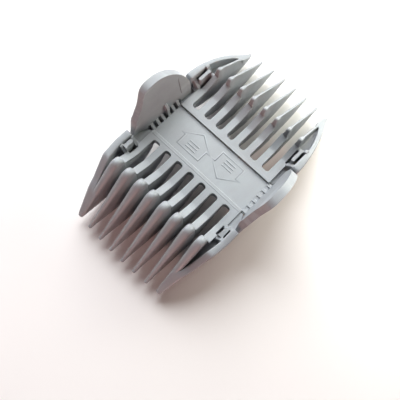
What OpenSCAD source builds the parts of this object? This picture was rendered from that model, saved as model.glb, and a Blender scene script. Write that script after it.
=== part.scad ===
// Two-ended guide comb for a hair clipper.
// X runs across the teeth, Y along them and +Z faces the clipper.
// The origin is the centre of the sunk floor between the two rows of slots.
// Each end is drawn towards +Y; the near end is mirrored to -Y.

/* [Teeth] */
// Distance from one tooth to the next
tooth_pitch = 5; // [4.9:0.05:5.1]
// Guide length of the near end, from the clipper's blade down to the skin
near_length = 12; // [10:0.5:13]
// Guide length of the far end
far_length = 9; // [8:0.5:11]
// Width of a slot between two arms
slot_w = 2.6; // [2.3:0.1:2.8]
// Distance from the origin to the slots' inner ends
slot_y = 8.8; // [8.4:0.1:9.2]
// Distance from the origin to the stops at the teeth's backs
stop_y = 21.2; // [21:0.1:21.4]
// Distance from the origin to a middle tip of the near end
near_tip_y = 42.5; // [42:0.5:44]
// Distance from the origin to a middle tip of the far end
far_tip_y = 40.8; // [40.3:0.5:42.3]
// How much further the middle tips reach than the corner tips
tip_bow = 1.1; // [0.8:0.1:1.4]

/* [Plate] */
// Half of the plate's width
plate_half_w = 19.2; // [19.1:0.05:19.3]
// Half of the sunk floor's length
floor_half_l = 6.2; // [5.8:0.1:6.6]
// Height of the aprons above the sunk floor
apron_z = 0.7; // [0.5:0.1:0.9]
// Thickness of the plate under the sunk floor
plate_t = 1.6; // [1.4:0.1:2]
// Height of the marks on the sunk floor
mark_h = 0.2; // [0.15:0.05:0.3]

/* [Sides] */
// Half of the distance across the side walls
wall_half_w = 23.7; // [23.5:0.1:24]
// Thickness of the side walls beside the windows
wall_t = 2.3; // [2.1:0.1:2.4]
// Height of the near side walls
near_wall_z = 4.4; // [4:0.2:4.8]
// Height of the far side walls
far_wall_z = 5.4; // [5:0.2:5.8]

/* [Ears] */
// Half of an ear's length
ear_half_l = 12.4; // [12:0.1:12.5]
// Height of an ear's top
ear_top_z = 15.7; // [14:0.5:17]
// How far an ear's top leans out beyond its foot
ear_lean = 3.4; // [2.8:0.2:4]
// Distance between two foot ribs
rib_pitch = 2.3; // [2.1:0.1:2.4]

/* [Clearance] */
// Gap all round a flexing root
root_gap = 0.05; // [0.03:0.01:0.08]

/* [Hidden] */
ENDS = ["near", "far"];
SIDES = ["left", "right"];
TEETH = [1:8];
SLOTS = [1:7];

arc_fn = 32;
light_grey = [0.71, 0.73, 0.76];
mid_grey = [0.62, 0.64, 0.67];

// Crossbar and arms
bar_y = 10.2;
ramp_y = 15.3;
ramp_z = 2.7;
arm_half_w = (tooth_pitch - slot_w) / 2;
slot_corner_r = 0.95;

// Teeth, with the near end's value first
sole_y = [24, 26];
sole_half_l = 2;
sole_z = [apron_z - near_length, apron_z - far_length];
tip_y = [near_tip_y, far_tip_y];
tip_z = [-8.1, -4.8];
tip_r = [0.55, 0.45];
crown_r = [2.4, 0.8];
crown_z = [7.0, 6.0];
crown_half_w = [1.35, 0.95];
tip_half_w = [0.5, 0.42];
web_half_w = [0.85, 0.75];
belly_steps = 6;
belly_power = 0.5;
web_top_z = -0.4;

// Corner teeth, whose outer faces meet the side walls
corner_x = 17.4;
corner_half_w = 1;
joint_x = corner_x + corner_half_w;
corner_tip_half_w = 0.85;

// Side walls
wall_y = 13.1;
wall_in_x = wall_half_w - wall_t;
pocket_end_y = [32.7, 32.3];
joint_end_y = [38.7, 37.5];
near_bend_y = 24;
near_bend_x = 23;
far_sweep = 5.5;
far_drop = 8.6;
far_start_y = 14;
far_steps = 8;
near_fall = 0.675;
wall_foot_z = [-2.9, -2.9];
wall_bend_z = [-3.6, -3.2];
wall_tip_z = [-8.6, -5.2];
pocket_floor_t = 0.8;
pocket_lift = 2.2;
pocket_lap = 0.3;

// Cross walls, windows and snap fingers
cross_t = 0.8;
window_y = [[13.9, 17.5], [14.9, 20.1]];
window_floor_z = [-2.9, -2.1];

// Ledge along the plate's edge beside the ear's free ends
ledge_y = 7.2;
ledge_w = 0.7;
ledge_z = [-1.6, -0.4];
finger_x = 20.1;
finger_half_t = 0.4;
finger_top_z = 3.9;
finger_gap = 0.5;
nib_l = 1.2;
nib_h = 0.8;
nib_out = 0.35;

// Foot ribs and ears
rib_count = 6;
rib_w = 0.8;
rib_r = 0.6;
hinge_x = 20.2;
hinge_z = -1;
ear_foot_z = -3.6;
ear_foot_out_x = 23.2;
ear_foot_in_x = hinge_x;
ear_top_t = 2.2;
ear_base_z = 0.7;
ear_peak_y = -0.5;
ear_far_stretch = 1.04;
ear_corner_r = 2;
ear_steps = 8;
rim_steps = 14;
gusset = [[0, -0.4], [0.7, -0.4], [1, 2.6], [0.7, 2.6], [0, 0.4]];
lug = [[0, -0.4], [0.7, -0.4], [1.5, 5], [1, 5.2], [0.1, 3]];
lug_rib = 3;

// Marks
arrow_x = 6.4;
arrow_head_half_w = 5.8;
arrow_shaft_half_w = 4.5;
arrow_half_l = 3.9;
mark_line_w = 0.35;
bar_mark_l = 4;
bar_mark_pitch = 1.1;

function mix(a, b, t) = a + (b - a) * t;
function tooth_x(i) = (i - 4.5) * tooth_pitch;
function is_corner(i) = i == 1 || i == 8;
function arm_right(i) = i == 1 ? -plate_half_w + 2.7 : tooth_x(i) + arm_half_w;
function arm_left(i) = i == 8 ? plate_half_w - 2.7 : tooth_x(i) - arm_half_w;
function bow(i) = tip_bow * pow((i - 4.5) / 3.5, 2);
function arc(cy, cz, r, a0, a1, n) =
    [for (k = [0:n]) let (a = mix(a0, a1, k / n)) [cy + r * cos(a), cz + r * sin(a)]];

// Turns a drawing towards +Y into the near or the far end
module at_end(e) {
    if (e == 0) mirror([0, 1, 0]) children();
    else children();
}

// Turns a drawing on the +X side into the left or the right side
module at_side(s) {
    if (s == 0) mirror([1, 0, 0]) children();
    else children();
}

// Extrudes a Y-Z outline along X between two places
module across(x0, x1) {
    translate([x0, 0, 0]) rotate([90, 0, 90]) linear_extrude(height = x1 - x0) children();
}

// Extrudes an X-Z outline along Y between two places
module along(y0, y1) {
    translate([0, y1, 0]) rotate([90, 0, 0]) linear_extrude(height = y1 - y0) children();
}

module block(lo, hi) {
    translate(lo) cube(hi - lo);
}

module seat_panel() {
    color(light_grey)
        block([-plate_half_w, -floor_half_l, -plate_t], [plate_half_w, floor_half_l, 0]);
}

// A slot with a rounded inner end, drawn through the whole plate
module slot_cut(x0, x1) {
    r = slot_corner_r;
    block([x0, slot_y + r, -plate_t - 1], [x1, bar_y + 1, apron_z + 1]);
    block([x0 + r, slot_y, -plate_t - 1], [x1 - r, slot_y + 2 * r, apron_z + 1]);
    for (x = [x0 + r, x1 - r])
        translate([x, slot_y + r, -plate_t - 1])
            cylinder(r = r, h = plate_t + apron_z + 2, $fn = arc_fn);
}

module bar(e) {
    color(light_grey) at_end(e) difference() {
        block([-plate_half_w, floor_half_l, -plate_t], [plate_half_w, bar_y, apron_z]);
        for (k = SLOTS) slot_cut(arm_right(k), arm_left(k + 1));
    }
}

// The underside of a tooth, from the crossbar down to the skin and up to the tip
function belly(e, tip) = concat(
    [for (k = [0:belly_steps]) let (t = k / belly_steps)
        [mix(bar_y, sole_y[e] - sole_half_l, t), mix(-plate_t, sole_z[e], pow(sin(90 * t), belly_power))]],
    [for (k = [0:belly_steps - 1]) let (t = k / belly_steps)
        [mix(sole_y[e] + sole_half_l, tip, t), mix(sole_z[e], tip_z[e] - tip_r[e], pow(t, 1.8))]]
);

// The side view of a tooth without its arm
module blade_outline(e, tip) {
    r = crown_r[e];
    polygon(concat(
        belly(e, tip),
        arc(tip - tip_r[e], tip_z[e], tip_r[e], -90, 50, 5),
        arc(stop_y + r, crown_z[e] - r, r, 55, 180, 6),
        [[stop_y, ramp_z - 1], [ramp_y, web_top_z], [bar_y, web_top_z]]
    ));
}

// The top view of a tooth without its arm
module blade_plan(e, i, tip) {
    web = web_half_w[e];
    half_w = is_corner(i) ? corner_half_w : crown_half_w[e];
    end_half_w = is_corner(i) ? corner_tip_half_w : tip_half_w[e];
    side = i == 1 ? -1 : 1;
    x = is_corner(i) ? side * corner_x : tooth_x(i);
    crown_y = stop_y + crown_r[e] * 1.6;
    outer = is_corner(i) ? [[half_w, joint_end_y[e]], [end_half_w, tip]]
                         : [[half_w, crown_y], [end_half_w, tip]];
    outline = concat(
        [[-web, bar_y], [-web, stop_y - 1.5], [-half_w, stop_y], [-half_w, crown_y]],
        [[-end_half_w, tip], for (k = [1, 0]) outer[k]],
        [[half_w, stop_y], [web, stop_y - 1.5], [web, bar_y]]
    );
    translate([x, 0]) polygon([for (p = outline) [side * p[0], p[1]]]);
}

module tooth(e, i) {
    tip = tip_y[e] - bow(i);
    x0 = i == 1 ? -plate_half_w : arm_left(i);
    x1 = i == 8 ? plate_half_w : arm_right(i);
    color(i % 2 == 0 ? mid_grey : light_grey) at_end(e) {
        across(x0, x1) polygon([
            [bar_y, -plate_t], [stop_y, -plate_t], [stop_y, ramp_z],
            [stop_y - 0.5, ramp_z], [ramp_y, apron_z], [bar_y, apron_z]
        ]);
        intersection() {
            across(tooth_x(i) - tooth_pitch, tooth_x(i) + tooth_pitch) blade_outline(e, tip);
            translate([0, 0, sole_z[e] - 1]) linear_extrude(height = 30) blade_plan(e, i, tip);
        }
    }
}

// Top view of a side wall on the +X side; its thin end lies against the corner tooth
module wall_plan(e) {
    near_line = [[wall_half_w, wall_y], [wall_half_w, wall_y + 5], [near_bend_x, near_bend_y]];
    far_line = [
        [wall_half_w + 0.2, wall_y],
        for (k = [0:far_steps]) let (t = k / far_steps)
            [wall_half_w + 0.2 - far_sweep * pow(t, 1.6), mix(far_start_y, joint_end_y[1], t)]
    ];
    pocket_y = window_y[e][1] + cross_t;
    bend_y = mix(pocket_y, pocket_end_y[e], 0.4);
    polygon(concat(
        e == 0 ? near_line : far_line,
        [[joint_x, joint_end_y[e]], [joint_x, pocket_end_y[e]]],
        [[wall_in_x - 0.6, bend_y], [wall_in_x, pocket_y], [wall_in_x, wall_y]]
    ));
}

// Side view of a side wall
module wall_outline(e) {
    end_y = joint_end_y[e];
    near_top = [[near_bend_y, near_wall_z], [end_y, near_wall_z - near_fall * (end_y - near_bend_y)]];
    far_top = [for (k = [0:far_steps]) let (t = k / far_steps)
        [mix(far_start_y, end_y, t), far_wall_z - far_drop * t * t]];
    polygon(concat(
        [[wall_y, wall_foot_z[e]], [wall_y, e == 0 ? near_wall_z : far_wall_z]],
        e == 0 ? near_top : far_top,
        [[end_y, wall_tip_z[e]], [near_bend_y, wall_bend_z[e]]]
    ));
}

// Top view of the floor that closes the pocket between a side wall and the corner tooth
module pocket_plan(e) {
    pocket_y = window_y[e][1] + cross_t;
    bend_y = mix(pocket_y, pocket_end_y[e], 0.4);
    polygon([
        [joint_x, stop_y], [plate_half_w, stop_y], [plate_half_w, pocket_y],
        [wall_in_x + pocket_lap, pocket_y], [wall_in_x - 0.6 + pocket_lap, bend_y],
        [joint_x + pocket_lap, pocket_end_y[e]], [joint_x, pocket_end_y[e]]
    ]);
}

// Side view of that floor, which follows the wall's foot a little higher up
module pocket_outline(e) {
    foot = [[wall_y, wall_foot_z[e]], [near_bend_y, wall_bend_z[e]], [joint_end_y[e], wall_tip_z[e]]];
    low = [for (p = foot) p + [0, pocket_lift]];
    polygon(concat(low, [for (k = [2:-1:0]) low[k] + [0, pocket_floor_t]]));
}

module wall(e, s) {
    color(light_grey) at_end(e) at_side(s) {
        intersection() {
            across(joint_x - 1, wall_half_w + 2) wall_outline(e);
            translate([0, 0, -15]) linear_extrude(height = 30) wall_plan(e);
        }
        intersection() {
            across(joint_x - 1, wall_half_w + 2) pocket_outline(e);
            translate([0, 0, -15]) linear_extrude(height = 30) pocket_plan(e);
        }
    }
}

// A floor and two walls at each side that close a window; the outer wall seats the snap finger.
// A narrow ledge runs on along the plate's edge.
module cross_walls(e) {
    top_z = e == 0 ? near_wall_z : far_wall_z;
    slope = [
        [plate_half_w, window_floor_z[0]], [wall_in_x, window_floor_z[0]],
        [wall_in_x, top_z], [plate_half_w, apron_z]
    ];
    y0 = window_y[e][0];
    y1 = window_y[e][1];
    color(mid_grey) at_end(e) for (s = [0, 1]) at_side(s) {
        block([plate_half_w, y0 - cross_t, window_floor_z[0]], [wall_in_x, y1 + cross_t, window_floor_z[1]]);
        along(y0 - cross_t, y0) polygon(slope);
        block([plate_half_w, ledge_y, ledge_z[0]], [plate_half_w + ledge_w, y0, ledge_z[1]]);
        difference() {
            along(y1, y1 + cross_t) polygon(slope);
            translate([finger_x, y1, -10])
                cylinder(r = finger_half_t + root_gap, h = 20, $fn = arc_fn);
        }
    }
}

// A thin upright latch that flexes sideways about its round root
module snap_finger(e, s) {
    root_y = window_y[e][1];
    free_y = window_y[e][0] + finger_gap;
    x0 = finger_x - finger_half_t;
    x1 = finger_x + finger_half_t;
    color("gainsboro") at_end(e) at_side(s) {
        block([x0, free_y, -plate_t], [x1, root_y, finger_top_z]);
        translate([finger_x, root_y, -plate_t])
            cylinder(r = finger_half_t, h = plate_t + finger_top_z, $fn = arc_fn);
        block([x0 - nib_out, free_y, finger_top_z - nib_h], [x0, free_y + nib_l, finger_top_z]);
    }
}

// Short ribs whose round ends carry the ear's foot, each with a gusset that climbs beside the ear.
// One gusset on the left is a taller lug.
module foot_ribs(s) {
    color(mid_grey) at_side(s) {
        for (k = [0:rib_count - 1]) {
            y = (k - (rib_count - 1) / 2) * rib_pitch;
            block([plate_half_w, y - rib_w / 2, hinge_z - rib_r], [hinge_x, y + rib_w / 2, hinge_z + rib_r]);
            translate([hinge_x, y + rib_w / 2, hinge_z]) rotate([90, 0, 0])
                cylinder(r = rib_r, h = rib_w, $fn = arc_fn);
            translate([plate_half_w, 0, 0]) along(y - rib_w / 2, y + rib_w / 2)
                polygon(s == 0 && k == lug_rib ? lug : gusset);
        }
    }
}

// Share of the ear's height at a share of the way from its peak to one end.
// The far end is an arch cut off upright; the near end falls away in an S.
function ear_arch(y) =
    let (u = y > ear_peak_y ? (y - ear_peak_y) / (ear_half_l - ear_peak_y) / ear_far_stretch
                            : (ear_peak_y - y) / (ear_half_l + ear_peak_y))
    y > ear_peak_y ? sqrt(1 - u * u) : pow(1 - pow(u, 3), 1.3);

// A grip tab: an arched outline that leans out more and more towards its top
module ear(s) {
    height = ear_top_z - ear_foot_z;
    out_x = [for (k = [0:ear_steps]) let (t = k / ear_steps)
        [ear_foot_out_x + ear_lean * t * t, ear_foot_z + height * t]];
    top_in_x = ear_foot_out_x + ear_lean - ear_top_t;
    in_x = [for (k = [ear_steps:-1:1]) let (t = k / ear_steps)
        [mix(ear_foot_in_x, top_in_x, pow(t, 1.2)), mix(hinge_z, ear_top_z, t)]];
    foot_in = [[ear_foot_in_x, hinge_z], [ear_foot_in_x, ear_foot_z]];
    rim = [for (k = [-rim_steps:rim_steps]) let (y = -ear_half_l * sin(90 * k / rim_steps))
        [y, ear_base_z + (ear_top_z - ear_base_z) * ear_arch(y)]];
    r = ear_corner_r;
    color("gainsboro") at_side(s) difference() {
        intersection() {
            along(-ear_half_l - 1, ear_half_l + 1) polygon(concat(out_x, in_x, foot_in));
            across(hinge_x - 2, hinge_x + 10) polygon(concat(
                rim,
                arc(r - ear_half_l, ear_foot_z + r, r, 180, 270, 4),
                arc(ear_half_l - r, ear_foot_z + r, r, 270, 360, 4)
            ));
        }
        translate([hinge_x, ear_half_l + 1, hinge_z]) rotate([90, 0, 0])
            cylinder(r = rib_r + root_gap, h = 2 * ear_half_l + 2, $fn = arc_fn);
    }
}

// A straight raised line on the sunk floor
module mark_line(p, q) {
    d = q - p;
    translate([p[0], p[1], 0]) rotate([0, 0, atan2(d[1], d[0])])
        block([-mark_line_w / 2, -mark_line_w / 2, 0], [norm(d) + mark_line_w / 2, mark_line_w / 2, mark_h]);
}

// One arrow for each end, drawn in outline, with plain bars in its shaft
module arrow_marks() {
    arrow = [
        [0, arrow_half_l], [arrow_head_half_w, 0], [arrow_shaft_half_w, 0],
        [arrow_shaft_half_w, -arrow_half_l], [-arrow_shaft_half_w, -arrow_half_l],
        [-arrow_shaft_half_w, 0], [-arrow_head_half_w, 0]
    ];
    color(mid_grey) for (turn = [0, 180]) rotate([0, 0, turn]) translate([-arrow_x, 0, 0]) {
        for (k = [0:6]) mark_line(arrow[k], arrow[(k + 1) % 7]);
        for (k = [-1:1]) mark_line(
            [-bar_mark_l / 2, k * bar_mark_pitch - 1.6], [bar_mark_l / 2, k * bar_mark_pitch - 1.6]
        );
    }
}

seat_panel();
arrow_marks();
for (e = [0, 1]) bar(e);
for (e = [0, 1], i = TEETH) tooth(e, i);
for (e = [0, 1]) cross_walls(e);
for (e = [0, 1], s = [0, 1]) wall(e, s);
for (e = [0, 1], s = [0, 1])
    snap_finger(e, s);
for (s = [0, 1]) foot_ribs(s);
for (s = [0, 1]) ear(s);
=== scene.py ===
"""Looks of a two-ended guide comb for a hair clipper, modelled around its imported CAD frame.

The code works in millimetres and turns them into metres when a mesh is made.
Each end is drawn towards +Y and each side towards +X, and mirrored to its place.
"""

import math

import bmesh
import bpy
from mathutils import Matrix, Vector


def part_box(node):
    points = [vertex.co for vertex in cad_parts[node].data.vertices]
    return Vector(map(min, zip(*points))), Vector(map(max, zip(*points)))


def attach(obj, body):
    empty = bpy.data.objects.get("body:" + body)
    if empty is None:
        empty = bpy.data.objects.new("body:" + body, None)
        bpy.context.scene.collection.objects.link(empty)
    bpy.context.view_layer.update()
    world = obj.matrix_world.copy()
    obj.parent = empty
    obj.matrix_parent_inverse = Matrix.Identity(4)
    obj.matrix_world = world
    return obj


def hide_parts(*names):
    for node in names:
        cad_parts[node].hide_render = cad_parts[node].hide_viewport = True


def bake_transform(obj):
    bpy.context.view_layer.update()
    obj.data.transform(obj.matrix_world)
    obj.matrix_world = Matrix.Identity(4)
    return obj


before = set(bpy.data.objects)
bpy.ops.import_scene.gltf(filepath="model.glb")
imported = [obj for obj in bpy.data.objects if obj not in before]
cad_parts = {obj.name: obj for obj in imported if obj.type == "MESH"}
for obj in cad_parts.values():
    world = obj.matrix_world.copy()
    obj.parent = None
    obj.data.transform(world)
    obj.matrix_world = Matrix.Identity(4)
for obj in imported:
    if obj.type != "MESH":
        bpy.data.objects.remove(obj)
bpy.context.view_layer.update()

MM = 0.001
TEETH = range(1, 9)
SIDES = {"left": -1, "right": 1}
ROOT = "comb"


# ---------------------------------------------------------------- sizes read from the frame

def span(node):
    """Lowest and highest corner of a CAD node, in millimetres."""
    lo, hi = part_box(node)
    return lo / MM, hi / MM


PANEL_LO, PANEL_HI = span("seat_panel")
PLATE_HALF_W = PANEL_HI.x
FLOOR_HALF_L = PANEL_HI.y
PLATE_UNDER_Z = PANEL_LO.z
APRON_Z = span("far_bar")[1].z
MARK_Z = span("arrow_marks")[1].z
WALL_Y = span("far_left_wall")[0].y
ARM_LO, ARM_HI = span("far_tooth_4")
ARM_HALF_W = (ARM_HI.x - ARM_LO.x) / 2
PITCH = (span("far_tooth_7")[1].x - span("far_tooth_2")[1].x) / 5
EAR_LO, EAR_HI = span("right_ear")
EAR_HALF_L = EAR_HI.y
EAR_TOP_Z = EAR_HI.z
EAR_FOOT_Z = EAR_LO.z


# ---------------------------------------------------------------- sizes of the details

# Slots, arms and the ramps that lead up to the blade stops
SLOT_Y = 8.5
SLOT_R = 0.95
RAMP_Y = 15.3
RAMP_END_Y = 20.7
RAMP_Z = 2.7
RAMP_POWER = 1.15
STOP_Y = 21.2
CORNER_ARM_IN_X = PLATE_HALF_W - 2.7

# Blades
WEB_HALF_W = 1.12
WEB_DOME = 0.3
WEB_LOW_Z = -0.4
WEB_HIGH_Z = 1.2
CROWN_END_ANGLE = 55
SOLE_HALF_L = 2
CORNER_X = 17.4
CORNER_HALF_W = 1
JOINT_X = CORNER_X + CORNER_HALF_W

# Side walls
WALL_IN_X = 21.4
WALL_BEND_Y = 24
WALL_FOOT_Z = -2.9
WALL_SHOULDER = 0.9
NEAR_WALL_OUT_X = 23.7
NEAR_WALL_BEND_X = 23.0
NEAR_WALL_TAPER_Y = 18.1
NEAR_WALL_FALL = 0.675
FAR_WALL_OUT_X = 23.9
FAR_WALL_START_Y = 14
FAR_WALL_SWEEP = 5.5
FAR_WALL_DROP = 8.6

# Pockets beside the corner blades, and latch windows
POCKET_LIFT = 2.2
POCKET_FLOOR_T = 0.8
WINDOW_NOTCH = 0.8
WINDOW_LAP = 0.8
WINDOW_FLOOR_LOW_Z = -2.9
WINDOW_FLOOR_HIGH_Z = -2.5
LEDGE_Y = 6.9
LEDGE_END_Y = 13.5
LEDGE_LOW_Z = -1.5

# Ears, and the ribs that carry them
HINGE_X = 20.2
HINGE_Z = -1
EAR_BASE_Z = 0.7
EAR_PEAK_Y = -0.5
EAR_LEAN = 3.4
EAR_FOOT_OUT_X = EAR_HI.x - EAR_LEAN
EAR_TOP_T = 2.5
EAR_CORNER_R = 2
EAR_FAR_STRETCH = 1.04
EAR_TAIL_Y = 6.6
EAR_TAIL_L = 3.2
EAR_TAIL_TOP_Z = 6
EAR_TAIL_SHIFT = 1.6
UNDERCUT_D = 0.5
UNDERCUT_END_Y = (7.0, 7.6)
UNDERCUT_END_Z = (0.6, 1.8)
GROOVE_Y = 8.2
GROOVE_HALF_W = 0.2
GROOVE_D = 0.3
GROOVE_LOW_Z = 3.5
GROOVE_HIGH_Z = 9.5
RIB_IN_X = PLATE_HALF_W - 0.15
RIB_COUNT = 6
RIB_PITCH = 2.3
RIB_HALF_W = 0.55
RIB_TOP_Z = {"left": 2.2, "right": 0.5}
LUG_RIB = 3
LUG_TOP_Z = 4.8
STRIP_TOP_Z = {"left": -1.3, "right": -0.1}
STRIP_T = 0.9


class End:
    """Shape of one end of the comb, drawn towards +Y.

    crown_r, crown_half_w: front radius and half width of a crown
    back: how much the front of a crown narrows
    knob_l: length over which a crown narrows to crest_half_w
    dome, square: height of a crest's rounding, and its exponent, where less than 1 is squarer
    window: first and last y of the latch windows
    bend_z, low_z: foot of the side walls at their bend and at their end
    """

    def __init__(self, name, sign, **shape):
        self.name = name
        self.sign = sign
        self.__dict__.update(shape)
        teeth = [span(f"{name}_tooth_{i}") for i in TEETH]
        self.tip_y = [max(abs(lo.y), abs(hi.y)) for lo, hi in teeth]
        self.crown_z = teeth[3][1].z
        self.sole_z = teeth[3][0].z
        wall_lo, wall_hi = span(f"{name}_left_wall")
        self.wall_top_z = wall_hi.z
        self.wall_end_y = max(abs(wall_lo.y), abs(wall_hi.y))


NEAR = End(
    "near", -1,
    crown_r=2.4, crown_half_w=1.4, back=0.5, knob_l=0, crest_half_w=1.4, dome=1.2, square=0.9,
    flank_half_w=1.35, tip_half_w=0.55, corner_tip_half_w=0.8, tip_z=-8.1, tip_r=0.55, sole_y=24,
    window=(13.9, 17.5), latch_x=20.25, latch_half_t=0.7, latch_top_z=3.7,
    ledge_z=0.15, pocket_end_y=32.7, bend_z=-3.6, low_z=-8.6)
FAR = End(
    "far", 1,
    crown_r=0.8, crown_half_w=0.62, back=0.1, knob_l=1.9, crest_half_w=0.3, dome=0.35, square=0.6,
    flank_half_w=0.9, tip_half_w=0.4, corner_tip_half_w=0.42, tip_z=-4.8, tip_r=0.45, sole_y=26,
    window=(14.9, 20.1), latch_x=19.9, latch_half_t=0.55, latch_top_z=4.2,
    ledge_z=-0.5, pocket_end_y=32.3, bend_z=-3.2, low_z=-5.2)
ENDS = (NEAR, FAR)


# ---------------------------------------------------------------- mesh tools

def mix(a, b, t):
    return a + (b - a) * t


def clamp(t):
    return min(max(t, 0.0), 1.0)


def share(value, start, stop):
    """How far a value has come from start to stop, from 0 to 1."""
    return clamp((value - start) / (stop - start))


def steps(count):
    return [k / count for k in range(count + 1)]


def tooth_x(i):
    return (i - 4.5) * PITCH


def skin(bm, rings):
    """A closed skin over rings of equal length, with flat caps."""
    rows = [[bm.verts.new(p) for p in ring] for ring in rings]
    count = len(rows[0])
    for low, high in zip(rows, rows[1:]):
        for k in range(count):
            bm.faces.new((low[k], low[(k + 1) % count], high[(k + 1) % count], high[k]))
    bm.faces.new(rows[0])
    bm.faces.new(rows[-1])
    return rows


def prism(bm, outline, lo, hi, plane):
    """An outline in the plane "XY", "XZ" or "YZ", extruded along the third axis."""
    place = {
        "XY": lambda p, h: (p[0], p[1], h),
        "XZ": lambda p, h: (p[0], h, p[1]),
        "YZ": lambda p, h: (h, p[0], p[1]),
    }[plane]
    return skin(bm, [[place(p, h) for p in outline] for h in (lo, hi)])


def cut(bm, axis, values):
    """Adds edges where planes cross the form, so that it can bend there."""
    normal = Vector([1.0 if k == axis else 0.0 for k in range(3)])
    for value in values:
        bmesh.ops.bisect_plane(
            bm, geom=bm.verts[:] + bm.edges[:] + bm.faces[:], dist=1e-5,
            plane_co=normal * value, plane_no=normal)


def bend(bm, move):
    for vert in bm.verts:
        vert.co = Vector(move(vert.co))


def turn(bm, sign_x=1, sign_y=1):
    """Mirrors a form that was drawn at +X and +Y."""
    bend(bm, lambda p: (p.x * sign_x, p.y * sign_y, p.z))


def arc(cx, cy, r, start, stop, count):
    """Points of an arc between two angles in degrees."""
    angles = [math.radians(mix(start, stop, t)) for t in steps(count)]
    return [(cx + r * math.cos(a), cy + r * math.sin(a)) for a in angles]


def piece(name, bm, body, nodes, slot, bevel=0.0, segments=3, sharp=50):
    """Turns a form into a piece that stands for CAD nodes and rides on a body."""
    bmesh.ops.recalc_face_normals(bm, faces=bm.faces)
    mesh = bpy.data.meshes.new(name)
    bm.to_mesh(mesh)
    bm.free()
    mesh.transform(Matrix.Scale(MM, 4))
    mesh.shade_smooth()
    obj = bpy.data.objects.new(name, mesh)
    bpy.context.scene.collection.objects.link(obj)
    if bevel:
        rounding = obj.modifiers.new("rounding", "BEVEL")
        rounding.width = bevel * MM
        rounding.segments = segments
        rounding.limit_method = "ANGLE"
        rounding.angle_limit = math.radians(32)
        rounding.harden_normals = True
    else:
        mesh.set_sharp_from_angle(angle=math.radians(sharp))
    mesh.materials.append(PLASTIC[slot])
    if isinstance(body, str):
        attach(obj, body)
    if nodes:
        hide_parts(*nodes)
    return obj


# ---------------------------------------------------------------- material

# Places of the Mix node's sockets when it mixes colours: the factor, A, B and the result
COLOUR_MIX_INPUTS = (0, 6, 7)
COLOUR_MIX_OUTPUT = 2


def grey(value):
    return (value, value, value)


def plastic(name, tone, grain_mm=0.22, bump=0.12):
    """Satin moulded plastic with faint clouding, flow streaks, pale worn edges, painted shade in
    hollows and a fine grain.
    """
    material = bpy.data.materials.new(name)
    material.use_nodes = True
    nodes = material.node_tree.nodes
    links = material.node_tree.links
    shader = nodes["Principled BSDF"]
    shader.inputs["IOR"].default_value = 1.5
    shader.inputs["Subsurface Weight"].default_value = 0.25
    shader.inputs["Subsurface Radius"].default_value = (1.0, 0.9, 0.75)
    shader.inputs["Subsurface Scale"].default_value = 1.2 * MM
    coords = nodes.new("ShaderNodeTexCoord")

    def noise(scale_mm, detail, stretch=(1, 1, 1)):
        mapping = nodes.new("ShaderNodeMapping")
        mapping.inputs["Scale"].default_value = [s / (scale_mm * MM) for s in stretch]
        texture = nodes.new("ShaderNodeTexNoise")
        texture.inputs["Scale"].default_value = 1.0
        texture.inputs["Detail"].default_value = detail
        links.new(coords.outputs["Object"], mapping.inputs["Vector"])
        links.new(mapping.outputs["Vector"], texture.inputs["Vector"])
        return texture.outputs["Fac"]

    def ramp(source, stops):
        node = nodes.new("ShaderNodeValToRGB")
        while len(node.color_ramp.elements) < len(stops):
            node.color_ramp.elements.new(0.5)
        for element, (place, colour) in zip(node.color_ramp.elements, stops):
            element.position = place
            element.color = (*colour, 1.0)
        links.new(source, node.inputs["Fac"])
        return node.outputs["Color"]

    def darken(amount, first, second):
        """The first colour times the second one, by an amount from 0 to 1."""
        node = nodes.new("ShaderNodeMix")
        node.data_type = "RGBA"
        node.blend_type = "MULTIPLY"
        factor, colour_a, colour_b = (node.inputs[k] for k in COLOUR_MIX_INPUTS)
        factor.default_value = amount
        links.new(first, colour_a)
        links.new(second, colour_b)
        return node.outputs[COLOUR_MIX_OUTPUT]

    def shade(factor, tint):
        return [c * factor + t for c, t in zip(tone, tint)]

    dark_cloud = shade(0.95, (0.006, 0, 0.004))
    pale_cloud = shade(1.05, (0, 0.002, 0.004))
    clouds = ramp(noise(7.0, 3.0), [(0.3, dark_cloud), (0.7, pale_cloud)])
    streaks = ramp(noise(1.6, 2.0, (1, 0.16, 1)), [(0.25, grey(0.93)), (0.75, grey(1.0))])
    specks = ramp(noise(0.35, 1.0), [(0.3, grey(0.95)), (0.62, grey(1.0))])
    colour = darken(0.7, clouds, streaks)
    colour = darken(0.6, colour, specks)
    geometry = nodes.new("ShaderNodeNewGeometry")
    # Pointiness: convex edges are lightened as wear, and hollows and creases are darkened as painted
    # shade.
    hollow_shade, level, worn = (0.88, 0.86, 0.85), (1, 1, 1), (1.2, 1.2, 1.19)
    wear_and_hollow_shade = ramp(geometry.outputs["Pointiness"], [(0.42, hollow_shade), (0.5, level), (0.6, worn)])
    colour = darken(0.8, colour, wear_and_hollow_shade)
    links.new(colour, shader.inputs["Base Color"])

    gloss = ramp(noise(2.4, 3.0), [(0.3, grey(0.40)), (0.7, grey(0.52))])
    links.new(gloss, shader.inputs["Roughness"])

    relief = nodes.new("ShaderNodeBump")
    relief.inputs["Strength"].default_value = bump
    relief.inputs["Distance"].default_value = 0.03 * MM
    links.new(noise(grain_mm, 2.0), relief.inputs["Height"])
    links.new(relief.outputs["Normal"], shader.inputs["Normal"])
    return material


TONE = (0.283, 0.295, 0.311)
PLASTIC = {
    "shell": plastic("moulded_shell", TONE),
    "teeth": plastic("moulded_teeth", TONE, bump=0.16),
    "ears": plastic("moulded_ears", TONE, grain_mm=0.28),
    "marks": plastic("moulded_marks", tuple(c * 1.03 for c in TONE)),
}


# ---------------------------------------------------------------- plate, aprons and arms

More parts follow.
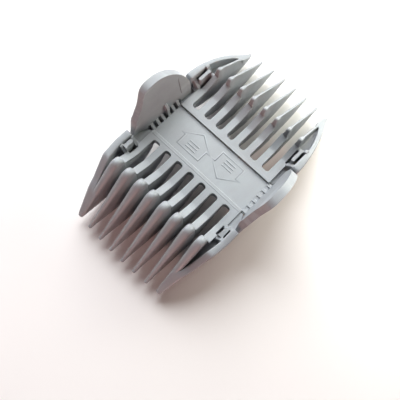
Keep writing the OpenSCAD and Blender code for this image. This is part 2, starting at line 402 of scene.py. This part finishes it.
def arm_span(i):
    """Left and right edge of an arm; the corner arms reach out to the plate's edges."""
    if i == TEETH[0]:
        return -PLATE_HALF_W, -CORNER_ARM_IN_X
    if i == TEETH[-1]:
        return CORNER_ARM_IN_X, PLATE_HALF_W
    return tooth_x(i) - ARM_HALF_W, tooth_x(i) + ARM_HALF_W


def apron_outline(end):
    """The apron and its eight arms as one comb-shaped outline, notched at the latch windows."""
    notch_x = PLATE_HALF_W - WINDOW_NOTCH
    lo, hi = end.window
    notch = [(PLATE_HALF_W, lo), (notch_x, lo), (notch_x, hi), (PLATE_HALF_W, hi)]
    points = [(-PLATE_HALF_W, FLOOR_HALF_L), (PLATE_HALF_W, FLOOR_HALF_L)]
    points += [*notch, (PLATE_HALF_W, STOP_Y)]
    for i in reversed(TEETH):
        left, right = arm_span(i)
        if i < TEETH[-1]:
            points.append((right, STOP_Y))
        points.append((left, STOP_Y))
        if i > TEETH[0]:
            slot_left = arm_span(i - 1)[1]
            points += arc(left - SLOT_R, SLOT_Y + SLOT_R, SLOT_R, 0, -90, 8)
            points += arc(slot_left + SLOT_R, SLOT_Y + SLOT_R, SLOT_R, -90, -180, 8)
    return points + [(-x, y) for x, y in reversed(notch)]


def ramp_up(p):
    """Raises the arms' tops towards the blade stops."""
    if p.z < 0:
        return p
    rise = share(p.y, RAMP_Y, RAMP_END_Y) ** RAMP_POWER
    return (p.x, p.y, p.z + (RAMP_Z - APRON_Z) * rise)


def bead(bm, points, half_w, base_z, height, closed=False):
    """A low rounded ridge along a line of points, with mitred corners."""
    rising = [(-1.2, -0.3), (-1.0, 0.03), (-0.5, 0.7)]
    profile = [*rising, (0.0, 1.0), *[(-s, h) for s, h in reversed(rising)]]
    count = len(points)
    rings = []
    for k, p in enumerate(points):
        here = Vector(p)
        before = Vector(points[k - 1]) if closed or k else None
        after = Vector(points[(k + 1) % count]) if closed or k < count - 1 else None
        ways = [(here - before).normalized()] if before is not None else []
        ways += [(after - here).normalized()] if after is not None else []
        sides = [Vector((-w.y, w.x)) for w in ways]
        side = sum(sides, Vector((0, 0))).normalized()
        reach = half_w / max(side.dot(sides[0]), 0.35)
        rings.append([(*(here + side * reach * s), base_z + height * h) for s, h in profile])
    rows = [[bm.verts.new(v) for v in ring] for ring in rings]
    pairs = list(zip(rows, rows[1:])) + ([(rows[-1], rows[0])] if closed else [])
    width = len(profile)
    for low, high in pairs:
        for j in range(width):
            bm.faces.new((low[j], low[(j + 1) % width], high[(j + 1) % width], high[j]))
    if not closed:
        bm.faces.new(rows[0])
        bm.faces.new(rows[-1])


def seat_panel():
    """The sunk floor, which runs a little way into the aprons."""
    lap = 0.1
    half_l = FLOOR_HALF_L + lap
    corners = [(x * PLATE_HALF_W, y * half_l) for x, y in ((-1, -1), (1, -1), (1, 1), (-1, 1))]
    bm = bmesh.new()
    prism(bm, corners, PLATE_UNDER_Z + lap, 0, "XY")
    piece("seat_floor", bm, ROOT, ["seat_panel"], "shell", bevel=0.08)


def apron(end):
    bm = bmesh.new()
    prism(bm, apron_outline(end), PLATE_UNDER_Z, APRON_Z, "XY")
    cut(bm, 1, [RAMP_Y - 0.3] + [mix(RAMP_Y, RAMP_END_Y, t) for t in steps(6)])
    bend(bm, ramp_up)
    turn(bm, sign_y=end.sign)
    piece(f"{end.name}_apron", bm, ROOT, [f"{end.name}_bar"], "shell", bevel=0.17)


def apron_beads():
    """A fine raised line beside the near edge of the sunk floor."""
    reach = PLATE_HALF_W - 0.5
    y = -FLOOR_HALF_L - 1.1
    bm = bmesh.new()
    bead(bm, [(-reach, y), (0, y), (reach, y)], 0.2, APRON_Z, 0.06)
    piece("near_edge_beads", bm, ROOT, [], "shell", sharp=80)


def arrow_marks():
    """Two outline arrows, one for each end, with plain bars in their shafts."""
    arrow_x, head_half_w, shaft_half_w, half_l = 6.4, 5.8, 4.5, 3.9
    line_half_w = 0.26
    bar_half_l = 2.0
    mark_h = 0.55 * MARK_Z
    outline = [(0, half_l), (head_half_w, 0), (shaft_half_w, 0), (shaft_half_w, -half_l),
               (-shaft_half_w, -half_l), (-shaft_half_w, 0), (-head_half_w, 0)]
    bars = [[(-bar_half_l, y), (0, y), (bar_half_l, y)] for y in (-2.7, -1.6, -0.5)]

    def place(points, way):
        return [(way * (x - arrow_x), way * y) for x, y in points]

    bm = bmesh.new()
    for way in (1, -1):
        bead(bm, place(outline, way), line_half_w, 0, mark_h, closed=True)
        for bar in bars:
            bead(bm, place(bar, way), line_half_w, 0, mark_h)
    piece("floor_arrows", bm, ROOT, ["arrow_marks"], "marks", sharp=80)


# ---------------------------------------------------------------- blades

def blade_ring(x, y, top, foot, top_w, flank_w, foot_w, dome, square):
    """One cross-section of a blade: a domed crest, flanks in two slopes and a small round keel."""
    height = top - foot
    dome = min(dome, 0.45 * height)
    keel = min(0.3, 0.3 * height)
    shoulder = top - dome
    heel = foot + keel
    flank = [(mix(top_w, flank_w, t), mix(shoulder, heel, 0.5 * t)) for t in (0.3, 0.65, 1)]
    flank.append((mix(flank_w, foot_w, 0.5), mix(shoulder, heel, 0.75)))
    ring = []
    for t in steps(12):
        c = math.cos(math.pi * t)
        s = math.sin(math.pi * t)
        across = top_w * math.copysign(abs(c) ** square, c)
        ring.append((x + across, y, shoulder + dome * s ** square))
    ring += [(x - w, y, z) for w, z in flank]
    for t in steps(6):
        a = math.pi * (1 + t)
        ring.append((x + foot_w * math.cos(a), y, heel + keel * math.sin(a)))
    ring += [(x + w, y, z) for w, z in reversed(flank)]
    return ring


def belly_z(end, y, tip):
    """Height of a blade's underside: down to the flat sole, and up again to the tip."""
    start = end.sole_y - SOLE_HALF_L
    stop = end.sole_y + SOLE_HALF_L
    if y < start:
        fall = math.sin(math.pi / 2 * share(y, SLOT_Y, start)) ** 0.5
        return mix(PLATE_UNDER_Z, end.sole_z, fall)
    if y < stop:
        return end.sole_z
    return mix(end.sole_z, end.tip_z - end.tip_r, share(y, stop, tip) ** 1.8)


def crest_line(end, tip):
    """Where a blade's straight crest starts and ends, as two (y, z) points."""
    r = end.crown_r
    rise = math.radians(CROWN_END_ANGLE)
    start = (STOP_Y + r * (1 + math.cos(rise)), end.crown_z - r * (1 - math.sin(rise)))
    return start, (tip - end.tip_r, end.tip_z + end.tip_r)


def crest_z(end, y, tip):
    start, nose = crest_line(end, tip)
    return mix(start[1], nose[1], (y - start[0]) / (nose[0] - start[0]))


def blade(end, i):
    """Web under an arm, blade stop with its crown, crest and rounded tip, as one loft along y."""
    corner = i in (TEETH[0], TEETH[-1])
    side = -1 if i == TEETH[0] else 1
    x = side * CORNER_X if corner else tooth_x(i)
    tip = end.tip_y[i - 1]
    r = end.crown_r
    crown_end, nose = crest_line(end, tip)
    tip_half_w = end.corner_tip_half_w if corner else end.tip_half_w
    web_w = CORNER_HALF_W if corner else WEB_HALF_W
    rings = []

    def add(y, top, top_w, flank_w, foot=None, dome=end.dome):
        foot = belly_z(end, y, tip) if foot is None else foot
        rings.append(blade_ring(x, y, top, foot, top_w, flank_w, 0.7 * flank_w, dome, end.square))

    def add_web():
        for t in steps(12):
            y = mix(SLOT_Y, STOP_Y - 1.2, t)
            top = mix(WEB_LOW_Z, WEB_HIGH_Z, share(y, RAMP_Y, STOP_Y))
            add(y, top, web_w, web_w, dome=WEB_DOME)
        add(STOP_Y - 0.35, RAMP_Z - 0.6, web_w, web_w, dome=WEB_DOME)

    def add_crown():
        sweep = 180 - CROWN_END_ANGLE
        for t in steps(12):
            a = math.radians(mix(180, CROWN_END_ANGLE, t))
            rise = clamp(t * sweep / 90)
            shrink = math.sqrt(1 - end.back * (1 - rise) ** 2)
            flank_w = CORNER_HALF_W if corner else end.flank_half_w * shrink
            top = end.crown_z - r + r * math.sin(a)
            add(STOP_Y + r + r * math.cos(a), top, end.crown_half_w * shrink, flank_w)

    def add_crest():
        for t in steps(26)[1:]:
            y = mix(crown_end[0], nose[0], t)
            crest_w = mix(end.crest_half_w, tip_half_w, t ** 1.1)
            if end.knob_l:
                past = share(y, crown_end[0], crown_end[0] + end.knob_l)
                crest_w = mix(end.crown_half_w, crest_w, past * past * (3 - 2 * past))
            flank_w = mix(end.flank_half_w, tip_half_w, t)
            if corner:
                flank_w = mix(CORNER_HALF_W, tip_half_w, share(y, end.wall_end_y, nose[0]))
                crest_w = mix(crest_w, flank_w, share(y, end.pocket_end_y, end.wall_end_y))
            add(y, mix(crown_end[1], nose[1], t), crest_w, flank_w)

    def add_tip():
        for t in steps(8)[1:]:
            a = math.pi / 2 * t * 0.97
            y = nose[0] + end.tip_r * math.sin(a)
            grow = math.cos(a)
            wide = tip_half_w * grow ** (0.6 if corner else 1)
            add(y, end.tip_z + end.tip_r * grow, wide, wide, foot=end.tip_z - end.tip_r * grow)

    add_web()
    add_crown()
    add_crest()
    add_tip()
    bm = bmesh.new()
    skin(bm, rings)
    turn(bm, sign_y=end.sign)
    piece(f"{end.name}_blade_{i}", bm, ROOT, [f"{end.name}_tooth_{i}"], "teeth", sharp=60)


# ---------------------------------------------------------------- side walls

def wall_inner_x(end, y):
    """Inner edge: free beside the window and the pocket, and then sunk into the corner blade."""
    window_end = end.window[1] + WINDOW_LAP
    free_x = mix(WALL_IN_X, JOINT_X - 0.1, share(y, window_end, end.pocket_end_y) ** 1.5)
    blade_half_w = mix(CORNER_HALF_W, end.corner_tip_half_w, share(y, end.wall_end_y, end.tip_y[0]))
    joined = share(y, end.pocket_end_y, end.pocket_end_y + 1.5)
    return mix(free_x, CORNER_X - 0.97 * blade_half_w, joined)


def far_wall_t(y):
    """How far along a far wall a place is."""
    return max((y - FAR_WALL_START_Y) / (FAR.wall_end_y - FAR_WALL_START_Y), 0)


def wall_outer_x(end, y):
    """Outer edge: two straight runs at the near end, one curve at the far end."""
    if end is FAR:
        return FAR_WALL_OUT_X - FAR_WALL_SWEEP * far_wall_t(y) ** 1.6
    if y < WALL_BEND_Y:
        return mix(NEAR_WALL_OUT_X, NEAR_WALL_BEND_X, share(y, NEAR_WALL_TAPER_Y, WALL_BEND_Y))
    past = (y - WALL_BEND_Y) / (end.tip_y[0] - WALL_BEND_Y)
    return mix(NEAR_WALL_BEND_X, JOINT_X - 0.2, past)


def wall_rim_z(end, y):
    """Rim: rounded off beside the ear, and falling to the corner blade's crest."""
    if end is FAR:
        rim = end.wall_top_z - FAR_WALL_DROP * far_wall_t(y) ** 2
    else:
        rim = end.wall_top_z - NEAR_WALL_FALL * max(y - WALL_BEND_Y, 0)
    level_with_crest = share(y, end.pocket_end_y - 2, end.pocket_end_y + 1.5)
    rim = mix(rim, crest_z(end, y, end.tip_y[0]) + 0.03, level_with_crest)
    shoulder = share(y, WALL_Y + WALL_SHOULDER, WALL_Y)
    return rim - WALL_SHOULDER * (1 - math.sqrt(1 - 0.99 * shoulder * shoulder))


def wall_foot_z(end, y):
    if y < WALL_BEND_Y:
        return mix(WALL_FOOT_Z, end.bend_z, share(y, WALL_Y, WALL_BEND_Y))
    return mix(end.bend_z, end.low_z, share(y, WALL_BEND_Y, end.wall_end_y))


def wall_ring(inner, outer, y, top, low, draft=0.2):
    """One cross-section of a wall, with a rounded rim and an outer face that leans in below."""
    outer = max(outer, inner + 0.3)
    half_w = (outer - inner) / 2
    middle = (outer + inner) / 2
    rim = min(0.5, half_w)
    foot_outer = max(outer - draft * (top - low - rim), inner + 0.25)
    ring = [(foot_outer - 0.15, y, low), (foot_outer, y, low + 0.2)]
    ring += [(mix(foot_outer, outer, t), y, mix(low + 0.2, top - rim, t)) for t in (0.3, 0.6)]
    for t in steps(10):
        a = math.pi * t
        c = math.cos(a)
        x = middle + half_w * math.copysign(abs(c) ** 0.45, c)
        ring.append((x, y, top - rim + rim * math.sin(a) ** 0.6))
    ring += [(inner, y, mix(top - rim, low + 0.2, t)) for t in (0.4, 0.7, 1)]
    ring.append((inner + 0.12, y, low))
    return ring


def side_wall(end, side):
    shoulder_y = WALL_Y + WALL_SHOULDER
    last_y = end.tip_y[0] - end.tip_r
    stations = [WALL_Y, WALL_Y + 0.1, WALL_Y + 0.3, WALL_Y + 0.6, shoulder_y]
    stations += [mix(shoulder_y, last_y, t) for t in steps(36)[1:]]
    rings = []
    for y in stations:
        rim = wall_rim_z(end, y)
        foot = min(wall_foot_z(end, y), rim - 0.6)
        rings.append(wall_ring(wall_inner_x(end, y), wall_outer_x(end, y), y, rim, foot))
    bm = bmesh.new()
    skin(bm, rings)
    turn(bm, sign_x=SIDES[side], sign_y=end.sign)
    piece(f"{end.name}_{side}_guard", bm, ROOT, [f"{end.name}_{side}_wall"], "shell", sharp=50)


def pocket_floor(end, side):
    """A web that closes the pocket between a side wall and the corner blade."""
    inner = JOINT_X - 0.3
    rings = []
    for t in steps(16):
        y = mix(end.window[1] + 0.4, end.pocket_end_y + 1, t)
        outer = wall_inner_x(end, y) + 0.5
        low = wall_foot_z(end, y) + POCKET_LIFT
        high = low + POCKET_FLOOR_T
        rings.append([(inner, y, low), (outer, y, low), (outer, y, high), (inner, y, high)])
    bm = bmesh.new()
    skin(bm, rings)
    turn(bm, sign_x=SIDES[side], sign_y=end.sign)
    piece(f"{end.name}_{side}_pocket_floor", bm, ROOT, [], "shell")


# ---------------------------------------------------------------- latch windows

def window_wall_outline(top):
    """A wall across a window, which slopes down from the side wall to the apron."""
    return [(PLATE_HALF_W - 0.3, WINDOW_FLOOR_LOW_Z), (WALL_IN_X + 0.3, WINDOW_FLOOR_LOW_Z),
            (WALL_IN_X + 0.3, top), (WALL_IN_X - 0.5, top - 0.1),
            (PLATE_HALF_W, APRON_Z + 0.6), (PLATE_HALF_W - 0.3, APRON_Z - 0.1)]


def window_floor_outline():
    in_x = PLATE_HALF_W - WINDOW_NOTCH - 0.3
    out_x = WALL_IN_X + 0.2
    low = WINDOW_FLOOR_LOW_Z + 0.05
    return [(in_x, low), (out_x, low), (out_x, WINDOW_FLOOR_HIGH_Z), (in_x, WINDOW_FLOOR_HIGH_Z)]


def ledge_outline(end):
    """A ledge that follows the ear's inner face to its end, and fills the gap behind it."""
    ear_end = EAR_HALF_L + 0.25
    in_x = PLATE_HALF_W - 0.2
    out_x = WALL_IN_X + 1.5
    beside_ear = []
    for t in steps(8):
        y = mix(LEDGE_Y, ear_end, t)
        beside_ear.append((ear_in_x(0) + ear_tail_shift(end.sign * y, 0) - 0.06, y))
    beyond_ear = [(out_x, ear_end), (out_x, LEDGE_END_Y), (in_x, LEDGE_END_Y)]
    return [(in_x, LEDGE_Y), *beside_ear, *beyond_ear]


def cross_walls(end):
    """Walls at both ends of the latch windows, the windows' floors, and ledges beside the ears."""
    first, last = end.window
    rim_z = end.wall_top_z - 0.4
    parts = [
        (window_wall_outline(3.5), first - WINDOW_LAP, first - WINDOW_LAP + 1.2, "XZ"),
        (window_wall_outline(rim_z), last - 0.1, last - 0.1 + 1.3, "XZ"),
        (window_floor_outline(), first - 0.4, last + 0.4, "XZ"),
        (ledge_outline(end), LEDGE_LOW_Z, end.ledge_z, "XY"),
    ]
    bm = bmesh.new()
    for sign in SIDES.values():
        for part in parts:
            rows = prism(bm, *part)
            for vert in rows[0] + rows[1]:
                vert.co.x *= sign
    turn(bm, sign_y=end.sign)
    piece(f"{end.name}_window_ends", bm, ROOT, [f"{end.name}_cross_walls"], "shell", bevel=0.13)


def snap_finger(end, side):
    """A thin upright latch with a rounded free end and a thicker root."""
    inner_x = end.latch_x - end.latch_half_t
    outer_x = end.latch_x + end.latch_half_t
    free_y = end.window[0] + 0.5
    neck_y = end.window[1] - 0.7
    root_y = end.window[1] + 0.3
    flare = 0.3
    r = 0.45
    outline = [(inner_x - flare, root_y), (inner_x, neck_y)]
    outline += arc(inner_x + r, free_y + r, r, 180, 270, 4)
    outline += arc(outer_x - r, free_y + r, r, 270, 360, 4)
    outline += [(outer_x, neck_y), (outer_x + flare, root_y)]
    bm = bmesh.new()
    prism(bm, outline, PLATE_UNDER_Z + 0.1, end.latch_top_z, "XY")
    turn(bm, sign_x=SIDES[side], sign_y=end.sign)
    name = f"{end.name}_{side}_snap_finger"
    piece(f"{end.name}_{side}_latch", bm, name, [name], "shell", bevel=0.13)


# ---------------------------------------------------------------- ears

def ear_rim_z(y):
    """Height of the ear's rim: cut off upright at the far end, falling in an S at the near end."""
    if y > EAR_PEAK_Y:
        u = (y - EAR_PEAK_Y) / (EAR_HALF_L - EAR_PEAK_Y) / EAR_FAR_STRETCH
        height = math.sqrt(1 - u * u)
    else:
        u = (EAR_PEAK_Y - y) / (EAR_HALF_L + EAR_PEAK_Y)
        waist = 0.1 * math.exp(-((u - 0.55) / 0.13) ** 2)
        tail = 0.16 * math.exp(-((u - 0.88) / 0.1) ** 2)
        height = (1 - u ** 3) ** 1.3 - waist + tail
    return EAR_BASE_Z + (EAR_TOP_Z - EAR_BASE_Z) * height


def ear_in_x(z):
    """Inner face: upright at the hinge, and leaning out to the rim."""
    return mix(HINGE_X, EAR_FOOT_OUT_X + EAR_LEAN - EAR_TOP_T, share(z, HINGE_Z, EAR_TOP_Z) ** 1.2)


def ear_tail_shift(y, z):
    """How far the inner face steps outwards along the near tail."""
    along = share(-y, EAR_TAIL_Y, EAR_TAIL_Y + EAR_TAIL_L) ** 1.3
    return EAR_TAIL_SHIFT * along * share(z, EAR_TAIL_TOP_Z, 0)


def ear_undercut(y, z):
    """How far the inner face steps outwards behind the ribs."""
    full_y, end_y = UNDERCUT_END_Y
    full_z, end_z = UNDERCUT_END_Z
    return UNDERCUT_D * share(z, end_z, full_z) * share(abs(y), end_y, full_y)


def ear_out_x(z):
    return EAR_FOOT_OUT_X + EAR_LEAN * share(z, EAR_FOOT_Z, EAR_TOP_Z) ** 2


def ear(side):
    """A grip ear: its outline as a slab from x = 0 to 1, bent between its inner and outer face."""
    r = EAR_CORNER_R
    rim_y = [-EAR_HALF_L * math.sin(math.pi / 2 * (k / 20)) for k in range(-20, 21)]
    outline = [(y, ear_rim_z(y)) for y in rim_y]
    outline += arc(r - EAR_HALF_L, EAR_FOOT_Z + r, r, 180, 270, 6)
    outline += arc(EAR_HALF_L - r, EAR_FOOT_Z + r, r, 270, 360, 6)
    groove_cuts = [GROOVE_Y - GROOVE_HALF_W, GROOVE_Y, GROOVE_Y + GROOVE_HALF_W]
    undercut_cuts = sorted(sign * y for sign in (-1, 1) for y in UNDERCUT_END_Y)
    tail_cuts = [-EAR_TAIL_Y, -9, -10.2, -11.4]
    bm = bmesh.new()
    prism(bm, outline, 0, 1, "YZ")
    cut(bm, 2, [mix(EAR_FOOT_Z, EAR_TOP_Z, t) for t in steps(18)[1:-1]])
    cut(bm, 1, groove_cuts + undercut_cuts + tail_cuts)

    def in_groove(y, z):
        return side == "left" and abs(y - GROOVE_Y) < 0.05 and GROOVE_LOW_Z < z < GROOVE_HIGH_Z

    def shape(p):
        if p.x > 0.5:
            return (ear_out_x(p.z), p.y, p.z)
        x = ear_in_x(p.z) + max(ear_tail_shift(p.y, p.z), ear_undercut(p.y, p.z))
        if in_groove(p.y, p.z):
            x += GROOVE_D
        return (x, p.y, p.z)

    bend(bm, shape)
    turn(bm, sign_x=SIDES[side])
    name = f"{side}_ear"
    piece(f"{side}_grip_ear", bm, name, [name], "ears", bevel=1.2, segments=7)


def rib_outline(y, top, lug):
    """A rib from the plate's edge up the ear's inner face; the lug is taller and has a thick top."""
    heights = (HINGE_Z, 0.4 * top, 0.7 * top, top)
    face = [(ear_in_x(z) + ear_undercut(y, z) + 0.3, z) for z in heights]
    lug_end = [(ear_in_x(top) - 0.5, top), (PLATE_HALF_W + 0.7, top - 1.4)] if lug else []
    toe = [(PLATE_HALF_W + 0.3, min(0.25 * top, 0.55)), (PLATE_HALF_W - 0.1, 0.1), (RIB_IN_X, 0.0)]
    return [(RIB_IN_X, HINGE_Z - 0.5), *face, *lug_end, *toe]


def foot_ribs(side):
    """Ribs and a strip between the plate's edge and the ear."""
    sign = SIDES[side]
    bm = bmesh.new()
    for k in range(RIB_COUNT):
        y = (k - (RIB_COUNT - 1) / 2) * RIB_PITCH
        lug = side == "left" and k == LUG_RIB
        top = LUG_TOP_Z if lug else RIB_TOP_Z[side]
        prism(bm, rib_outline(y, top, lug), y - RIB_HALF_W, y + RIB_HALF_W, "XZ")
    out_x = HINGE_X + 1.1
    high = STRIP_TOP_Z[side]
    low = high - STRIP_T
    strip_half_l = (RIB_COUNT - 1) / 2 * RIB_PITCH + 0.85
    strip = [(RIB_IN_X, low), (out_x, low), (out_x, high), (RIB_IN_X, high)]
    prism(bm, strip, -strip_half_l, strip_half_l, "XZ")
    turn(bm, sign_x=sign)
    ribs = piece(f"{side}_gussets", bm, None, [f"{side}_foot_ribs"], "shell", bevel=0.14)
    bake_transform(ribs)


# ---------------------------------------------------------------- build

seat_panel()
apron_beads()
arrow_marks()
for end in ENDS:
    apron(end)
    for i in TEETH:
        blade(end, i)
    cross_walls(end)
    for side in SIDES:
        side_wall(end, side)
        pocket_floor(end, side)
        snap_finger(end, side)
for side in SIDES:
    foot_ribs(side)
    ear(side)


# ---------------------------------------------------------------- floor, light and camera

def studio_floor(radius, colour):
    """A pale round floor, tilted so that it touches both rows of soles."""
    near = Vector((0, -NEAR.sole_y, NEAR.sole_z)) * MM
    far = Vector((0, FAR.sole_y, FAR.sole_z)) * MM
    along = (far - near).normalized()
    mesh = bpy.data.meshes.new("floor")
    bm = bmesh.new()
    bmesh.ops.create_circle(bm, cap_ends=True, segments=128, radius=radius)
    bm.to_mesh(mesh)
    bm.free()
    floor = bpy.data.objects.new("floor", mesh)
    floor.location = (near + far) / 2
    floor.rotation_euler = (math.atan2(along.z, along.y), 0, 0)
    bpy.context.scene.collection.objects.link(floor)
    material = bpy.data.materials.new("floor_paper")
    material.use_nodes = True
    shader = material.node_tree.nodes["Principled BSDF"]
    shader.inputs["Base Color"].default_value = (*colour, 1)
    shader.inputs["Roughness"].default_value = 0.9
    shader.inputs["Specular IOR Level"].default_value = 0.1
    mesh.materials.append(material)


def softbox(name, direction, distance, size, power, colour):
    """A round area light that faces the origin; distance and size are in metres."""
    light = bpy.data.lights.new(name, "AREA")
    light.shape = "DISK"
    light.size = size
    light.energy = power
    light.color = colour
    lamp = bpy.data.objects.new(name, light)
    way = Vector(direction).normalized()
    lamp.location = way * distance
    lamp.rotation_mode = "QUATERNION"
    lamp.rotation_quaternion = way.to_track_quat("Z", "Y")
    bpy.context.scene.collection.objects.link(lamp)


def ambient(colour, overhead, horizon, fade_z=(-0.02, 0.3)):
    """A dim sky and a pale backdrop at and below the horizon, which fade into each other."""
    world = bpy.data.worlds.new("studio")
    world.use_nodes = True
    nodes = world.node_tree.nodes
    links = world.node_tree.links
    background = nodes["Background"]
    background.inputs["Color"].default_value = (*colour, 1)
    coords = nodes.new("ShaderNodeTexCoord")
    split = nodes.new("ShaderNodeSeparateXYZ")
    fade = nodes.new("ShaderNodeMapRange")
    for socket, value in zip(fade.inputs[1:5], (*fade_z, horizon, overhead)):
        socket.default_value = value
    links.new(coords.outputs["Generated"], split.inputs["Vector"])
    links.new(split.outputs["Z"], fade.inputs["Value"])
    links.new(fade.outputs["Result"], background.inputs["Strength"])
    bpy.context.scene.world = world


def camera(azimuth, elevation, roll, target_mm, distance, lens):
    """A camera that looks at a point, from angles in degrees; azimuth 0 is the view along +Y."""
    azimuth, elevation, roll = (math.radians(a) for a in (azimuth, elevation, roll))
    reach = math.cos(elevation)
    back = Vector((math.sin(azimuth) * reach, -math.cos(azimuth) * reach, math.sin(elevation)))
    level = Vector((math.cos(azimuth), math.sin(azimuth), 0))
    upright = back.cross(level)
    right = level * math.cos(roll) + upright * math.sin(roll)
    up = upright * math.cos(roll) - level * math.sin(roll)
    data = bpy.data.cameras.new("camera")
    data.lens = lens
    data.sensor_width = 36
    data.clip_start = 0.01
    data.clip_end = 10
    cam = bpy.data.objects.new("camera", data)
    turned = Matrix((right, up, back)).transposed().to_4x4()
    cam.matrix_world = Matrix.Translation(Vector(target_mm) * MM + back * distance) @ turned
    bpy.context.scene.collection.objects.link(cam)
    bpy.context.scene.camera = cam


studio_floor(radius=0.45, colour=(0.92, 0.88, 0.865))
softbox(
    "key", direction=(-0.55, 0.54, 0.66), distance=0.55, size=0.6, power=6.9,
    colour=(0.95, 0.985, 1.0))
softbox(
    "far_fill", direction=(0.3, 0.88, 0.45), distance=0.12, size=0.05, power=0.11,
    colour=(0.97, 1.0, 0.88))
softbox(
    "near_fill", direction=(0.42, -0.9, 0.14), distance=1.2, size=0.15, power=5.9,
    colour=(1.0, 0.52, 0.46))
softbox(
    "side_fill", direction=(1.0, 0.1, 0.05), distance=0.9, size=0.08, power=0.25,
    colour=(1.0, 0.95, 0.95))
ambient(colour=(1.0, 0.92, 0.9), overhead=0.05, horizon=0.8)
camera(
    azimuth=34.144, elevation=72.429, roll=9.99,
    target_mm=(7.718, -12.985, 0.7), distance=0.15807, lens=46.4)
bpy.context.scene.view_settings.view_transform = "Standard"
